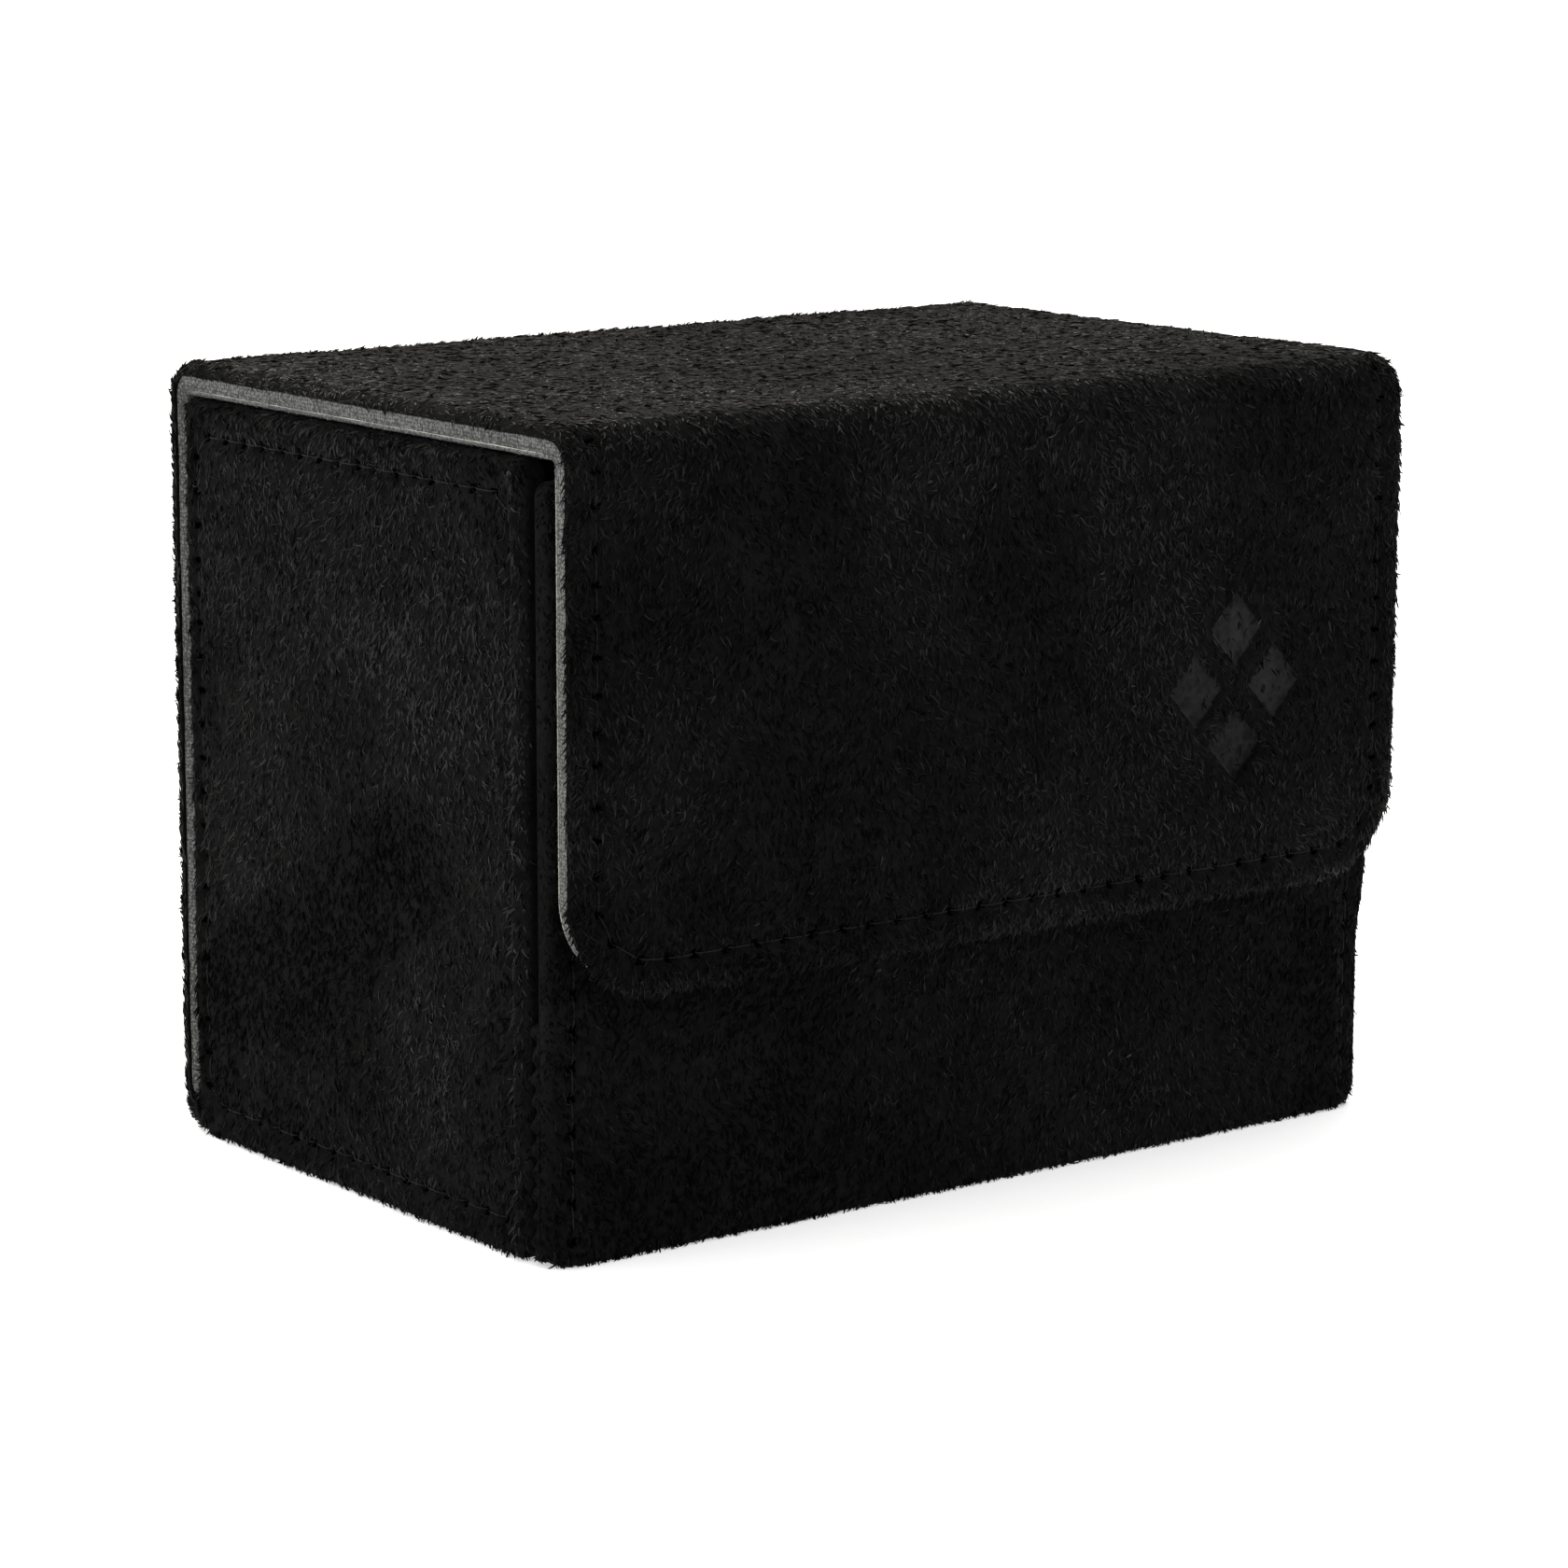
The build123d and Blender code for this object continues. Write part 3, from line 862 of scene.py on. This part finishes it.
def greyboard_material():
    """Recycled greyboard: mottled fibres and small flecks."""
    material, tree, shader = new_material("greyboard", Specular_IOR_Level=0.3)
    coords = add(tree, "TexCoord", {}).outputs["Object"]
    fibres = add(tree, "TexNoise", {"Vector": coords, "Scale": 600.0, "Detail": 5.0}).outputs["Fac"]
    flecks = add(tree, "TexVoronoi", {"Vector": coords, "Scale": 400.0}).outputs[0]
    tone = add(tree, "Math", {0: flecks, 1: 0.3, 2: fibres}, operation="MULTIPLY_ADD").outputs[0]
    colour = ramp(tree, tone, [(0.35, (0.20, 0.185, 0.16)), (0.75, (0.36, 0.34, 0.31))])
    tree.links.new(colour, shader.inputs["Base Color"])
    rough = add(tree, "MapRange", {"Value": fibres, "To Min": 0.8, "To Max": 0.98})
    tree.links.new(rough.outputs[0], shader.inputs["Roughness"])
    bump = add(tree, "Bump", {"Height": fibres, "Strength": 0.3, "Distance": 0.1 * mm})
    tree.links.new(bump.outputs[0], shader.inputs["Normal"])
    return material


def nickel_material():
    """Nickel plating with fine scuffs."""
    material, tree, shader = new_material("nickel_plating", Metallic=1.0)
    coords = add(tree, "TexCoord", {}).outputs["Object"]
    scuffs = add(tree, "TexNoise", {"Vector": coords, "Scale": 900.0, "Detail": 6.0}).outputs["Fac"]
    colour = ramp(tree, scuffs, [(0.3, (0.50, 0.48, 0.45)), (0.7, (0.66, 0.64, 0.60))])
    tree.links.new(colour, shader.inputs["Base Color"])
    rough = add(tree, "MapRange", {"Value": scuffs, "To Min": 0.18, "To Max": 0.4})
    tree.links.new(rough.outputs[0], shader.inputs["Roughness"])
    return material


# Painted shade: a near-black material for the faces in the needle-hole pits, darker than their own
# shade.
painted_hole_shade = new_material(
    "painted_hole_shade", Base_Color=(0.0004, 0.0004, 0.0004, 1), Specular_IOR_Level=0.0
)[0]
plush_base = plush_material("black_plush", 0.0015, 0.005, 0.015)
# The debossed mark's plush: its lighter colour is painted sheen of the crushed pile, on top of its
# real sheen weight.
pressed_plush_painted_sheen = plush_material("pressed_black_plush_painted_sheen", 0.004, 0.016, 0.09, 0.7, 0.12 * mm)
fibre_shades = pile_shades(
    "plush_fibre",
    ((0.0005, 0.012), (0.0013, 0.03), (0.0024, 0.052), (0.0042, 0.08), (0.0075, 0.13)),
)
grey_fibre_shades = pile_shades("grey_fibre", ((0.04, 0.1), (0.06, 0.1), (0.09, 0.1), (0.14, 0.1)))
microfibre = microfibre_material()
dark_thread = thread_material()
greyboard = greyboard_material()
nickel = nickel_material()


# =========================== pieces ===========================


def seam_zone(middle):
    """Closer mesh lines beside a seam: where they start, where they stop and their spacing."""
    return middle - 1.4 * mm, middle + 1.4 * mm, 0.3 * mm


def seam_zones(panel, inset, end_inset):
    """Closer mesh lines along the seams that run beside a panel's ends and its lower edge."""
    across = [seam_zone(side * (panel.half - end_inset)) for side in (-1, 1)]
    return across, [seam_zone(panel.low + inset)]


fold_zones = [(run_ends[k - 1] - mm, run_ends[k] + mm, 0.4 * mm) for k in (1, 3, 5)]
lining_fold_zones = [
    (run_ends[k - 1] - 1.6 * mm, run_ends[k] + 1.6 * mm, 0.16 * mm) for k in (1, 3)
]


def make_cover():
    """The wrap-around cover in two halves that meet across the middle of the lid."""
    across, along = seam_zones(cover_front, flap_inset, flap_inset)
    mark_v = mark_z - flap_low.z
    across.append((mark_x - 10.5 * mm, mark_x + 10.5 * mm, 0.2 * mm))
    along.append((mark_v - 11.5 * mm, mark_v + 11.5 * mm, 0.2 * mm))
    # The mark's faces get the pressed plush, whose lighter colour is painted sheen.
    front = skin(
        "cover_front_plush",
        cover_front,
        cover_front_height,
        [plush_base, pressed_plush_painted_sheen, painted_hole_shade],
        0.62 * mm,
        (across, along + fold_zones),
        # the needle-hole faces get a near-black material: painted shade in their pits
        (pressed, hole_share(flap_holes)),
    )
    rear = skin(
        "cover_rear_plush", cover_rear, cover_rear_height, [plush_base], 0.8 * mm, ([], fold_zones)
    )
    front_height = lining_height(cover_front_inside, cover_thickness)
    rear_height = lining_height(cover_rear_inside, cover_thickness)
    front_inside = skin(
        "cover_front_lining", cover_front_inside, front_height, [microfibre], 0.8 * mm,
        ([], lining_fold_zones),
    )
    rear_inside = skin(
        "cover_rear_lining", cover_rear_inside, rear_height, [microfibre], 0.8 * mm,
        ([], lining_fold_zones),
    )

    def on_lid(u, v):
        return smooth(v, run_ends[0], run_ends[1]) * (1 - smooth(v, run_ends[2], run_ends[3]))

    stitched = sewn(flap_track, flap_holes)

    def thinned(u, v):
        return np.maximum(0.9 * pressed(u, v), stitched(u, v))

    looks = (6.5, fibre_shades, 0.48)
    front_pile = pile("cover_front_pile", cover_front, cover_front_height, *looks, thinned, on_lid)
    rear_pile = pile("cover_rear_pile", cover_rear, cover_rear_height, *looks, None, on_lid)
    linings = (
        ("front", cover_front_inside, front_height),
        ("rear", cover_rear_inside, rear_height),
    )
    front_fuzz, rear_fuzz = (
        pile(f"cover_{word}_fuzz", panel, height, 14.0, grey_fibre_shades, size=0.32, rim_only=True,
             facing=-1)
        for word, panel, height in linings
    )
    seam = thread("flap_thread", cover_front, cover_front_height, flap_holes, dark_thread)
    for piece in (front, front_pile, seam):
        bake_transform(piece)
    for piece in (rear, rear_pile):
        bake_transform(piece)
    for piece in (front_inside, front_fuzz):
        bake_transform(piece)
    for piece in (rear_inside, rear_fuzz):
        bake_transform(piece)
    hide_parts("flap_skin", "front_hinge_skin", "lid_skin")
    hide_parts("back_wall_skin", "rear_hinge_skin")
    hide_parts("flap_lining", "front_hinge_lining", "lid_lining")
    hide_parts("back_wall_lining", "rear_hinge_lining")
    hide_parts("flap_stitching")


def make_wall(word, panel, height, track, holes, insets, slit, tone, strokes=()):
    """A stitched outer skin, its pile and its thread. slit is the share of pile missing there."""
    stitched = sewn(track, holes)

    def thinned(u, v):
        return np.maximum(stitched(u, v), slit(u, panel.drop(u, v)))

    zones = seam_zones(panel, *insets)
    zones[1].append(seam_zone(panel.high - insets[0]))
    # The needle-hole faces get a near-black material: painted shade in their pits.
    wall = skin(
        f"{word}_wall_plush",
        panel,
        height,
        [plush_base, painted_hole_shade],
        0.6 * mm,
        zones,
        (hole_share(holes),),
    )
    nap = pile(
        f"{word}_wall_pile", panel, height, 5.5, fibre_shades, tone, thinned, strokes=strokes,
        trim=slit_trim,
    )
    seam = thread(f"{word}_wall_thread", panel, height, holes, dark_thread)
    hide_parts(f"{word}_wall_skin")
    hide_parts(f"{word}_wall_stitching")
    for piece in (wall, nap, seam):
        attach(piece, "box")


def slit_trim(panel, u, v):
    """Pile is shorter at the ends of a wall, beside the corner slits."""
    return 0.4 * (panel.half - np.abs(u) < 0.6 * mm)


def side_slit(u, drop):
    """No pile on the flat front end of a side wall, inside the corner slit."""
    return (u < mm - side_half) * (drop > 0.7 * mm)


def front_slit(u, drop):
    """No pile on the edge of the front wall's ends beside the corner slits."""
    return (np.abs(u) > half_box - mm) * (drop > 0.85 * front_wrap)


def side_tone_with_painted_highlights(u, v):
    """Side wall pile with painted highlights: lighter on the tops of the gathered front border."""
    flat = np.column_stack([0 * u, u, v])
    ridge, lay = rope_folds(side_panel(1), flat, u, v)
    return 0.45 + ridge * (0.3 + 0.6 * lay)


def front_painted_shade_tone(u, v):
    """Painted shade: darker pile on the front wall under the flap, darker still at its ends."""
    return 0.28 - 0.35 * (np.abs(u) > half_box - 0.4 * mm)


def make_inside(word, node, panel):
    """A lining glued inside the box."""

    def height(u, v):
        flat = panel.place(u, v, np.zeros(len(u)))
        return 0.04 * mm * noise(flat, 5 * mm, 13) + 0.06 * mm - panel.drop(u, v)

    lining = skin(f"{word}_lining", panel, height, [microfibre], 1.0 * mm, ([], []))
    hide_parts(node)
    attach(lining, "box")


def make_insides():
    """The linings of the side walls, the front wall and the floor."""
    side_v = (turn_in, side_high.z - turn_in)
    for side, word in ((-1, "left"), (1, "right")):
        place = ((side * half_inside, side_middle, 0), (0, 1, 0), (-side, 0, 0))
        make_inside(f"{word}_wall_inner", f"{word}_wall_lining",
                    inner_panel(*place, side_half - turn_in, *side_v))
    place = ((0, front_high.y, 0), (1, 0, 0), (0, 1, 0))
    make_inside("front_wall_inner", "front_wall_lining",
                inner_panel(*place, half_inside + 0.3 * mm, turn_in, front_high.z - turn_in))
    floor_place = flat_place((0, floor_low.y, floor_top), (1, 0, 0), (0, 1, 0), (0, 0, 1))
    make_inside("floor_inner", "floor_lining",
                Panel(half_inside, 0, floor_high.y - floor_low.y, floor_place,
                      round_edge(0.5 * mm), 0.5 * mm, (0, 0)))


def make_floor_skin():
    """The plush under the floor, between the walls."""
    place = flat_place((0, floor_low.y, 0), (1, 0, 0), (0, 1, 0), (0, 0, -1))
    panel = Panel(
        half_inside, 0, floor_high.y - floor_low.y, place, round_edge(0.4 * mm), plush, (0, 0)
    )

    def height(u, v):
        flat = panel.place(u, v, np.zeros(len(u)))
        return 0.5 * nap_relief(flat) - 0.12 * mm - panel.drop(u, v)

    skin_piece = skin("floor_plush", panel, height, [plush_base], 0.9 * mm, ([], []))
    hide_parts("floor_skin")
    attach(skin_piece, "box")


def make_corner_seam(side, word):
    """The gathered plush that closes the lower part of a corner slot."""
    middle = (seam_low.y + seam_high.y) / 2
    half = (seam_high.y - seam_low.y) / 2 + 0.45 * mm
    foot = 0.3 * mm
    place = flat_place((side * seam_high.x, middle, 0), (0, 1, 0), (0, 0, 1), (side, 0, 0))
    corners = (0.3 * mm, 0.3 * mm)
    panel = Panel(half, foot, seam_high.z, place, round_edge(0.45 * mm), 2.0 * mm, corners)

    def height(u, v):
        flat = panel.place(u, v, np.zeros(len(u)))
        wave = 2 * math.pi * (v + 0.7 * u) / (2.3 * mm) + noise(flat, 3 * mm, 31)
        clumps = 0.15 * mm * noise(flat, 1.0 * mm, 32)
        return 0.28 * mm * np.sin(wave) + clumps - panel.drop(u, v)

    seam = skin(f"{word}_corner_gather", panel, height, [plush_base], 0.18 * mm, ([], []))
    nap = pile(f"{word}_corner_pile", panel, height, 4.0, fibre_shades, 0.4, size=0.6)
    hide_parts(f"{word}_corner_seam")
    for piece in (seam, nap):
        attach(piece, "box")


def finish_cores():
    """Materials for the boards and magnets, which stay as they were modelled."""
    for name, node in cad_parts.items():
        if name.endswith("_board") or name.endswith("_magnets"):
            for slot in node.material_slots:
                slot.material = greyboard if name.endswith("_board") else nickel


# a dark stroke brushed across a side wall and a lighter one above it, as ends, width and amount
side_strokes = (
    ((28 * mm, 13 * mm), (-10 * mm, 36 * mm), 8.5 * mm, -0.95),
    ((2 * mm, 50 * mm), (-22 * mm, 58 * mm), 10 * mm, 0.2),
)

make_cover()
for side, word in ((-1, "left"), (1, "right")):
    panel = side_panel(side)
    height = wall_height(panel, side_track, side_holes, 0.25 * mm, rope=0.55 * mm)
    insets = (side_inset, side_end_inset)
    # The side walls' pile tone paints highlights on the tops of the rope folds.
    make_wall(
        word, panel, height, side_track, side_holes, insets, side_slit, side_tone_with_painted_highlights, side_strokes
    )
    make_corner_seam(side, word)
height = wall_height(front_panel, front_track, front_holes, 0.12 * mm, 0.5, curl=1.1 * mm)
insets = (front_inset, front_inset)
# The front wall's pile tone carries painted shade.
make_wall("front", front_panel, height, front_track, front_holes, insets, front_slit, front_painted_shade_tone)
make_insides()
make_floor_skin()
finish_cores()


# =========================== floor, light and camera ===========================


def make_floor():
    """A plain pale floor under the box."""
    mesh = bpy.data.meshes.new("floor")
    size = 40.0
    corners = [(x * size, y * size, 0) for x, y in ((-1, -1), (1, -1), (1, 1), (-1, 1))]
    mesh.from_pydata(corners, [], [(0, 1, 2, 3)])
    material, _, _ = new_material(
        "pale_floor",
        Base_Color=(0.8, 0.8, 0.8, 1),
        Emission_Color=(1, 1, 1, 1),
        Emission_Strength=0.45,
    )
    floor = new_object("floor", mesh, [material])


def area_light(name, place, target, size, power, colour=(1, 1, 1)):
    """A soft square light that faces a point."""
    light = bpy.data.lights.new(name, "AREA")
    light.size, light.energy, light.color = size, power, colour
    obj = bpy.data.objects.new(name, light)
    obj.location = place
    obj.rotation_euler = (Vector(target) - Vector(place)).to_track_quat("-Z", "Y").to_euler()
    scene.collection.objects.link(obj)


def make_camera():
    """A long lens low in front of the left corner."""
    azimuth, elevation, roll = math.radians(-37.29), math.radians(11.08), math.radians(0.07)
    level = math.cos(elevation)
    back = Vector((math.sin(azimuth) * level, -math.cos(azimuth) * level, math.sin(elevation)))
    right = Vector((math.cos(azimuth), math.sin(azimuth), 0))
    turn = Matrix((right, back.cross(right), back)).transposed() @ Matrix.Rotation(roll, 3, "Z")
    data = bpy.data.cameras.new("camera")
    data.sensor_width, data.lens = 36.0, 115.71
    camera = bpy.data.objects.new("camera", data)
    camera.matrix_world = Matrix.Translation((-0.3182, -0.4172, 0.1393)) @ turn.to_4x4()
    scene.collection.objects.link(camera)
    scene.camera = camera


def make_world(strength):
    """Even white surroundings."""
    world = bpy.data.worlds.new("surroundings")
    world.use_nodes = True
    background = world.node_tree.nodes["Background"]
    background.inputs["Color"].default_value = (1, 1, 1, 1)
    background.inputs["Strength"].default_value = strength
    scene.world = world
    scene.view_settings.view_transform = "Standard"


middle = (0, 0, 0.04)
make_floor()
make_world(1.05)
area_light("overhead", (0.05, 0.35, 0.85), middle, 0.9, 8.0, (1.0, 0.955, 0.88))
area_light("behind", (0.35, 1.25, 0.42), middle, 0.8, 5.0, (1.0, 0.86, 0.68))
area_light("left_side", (-1.0, 0.0, 0.3), middle, 0.7, 4.0)
make_camera()
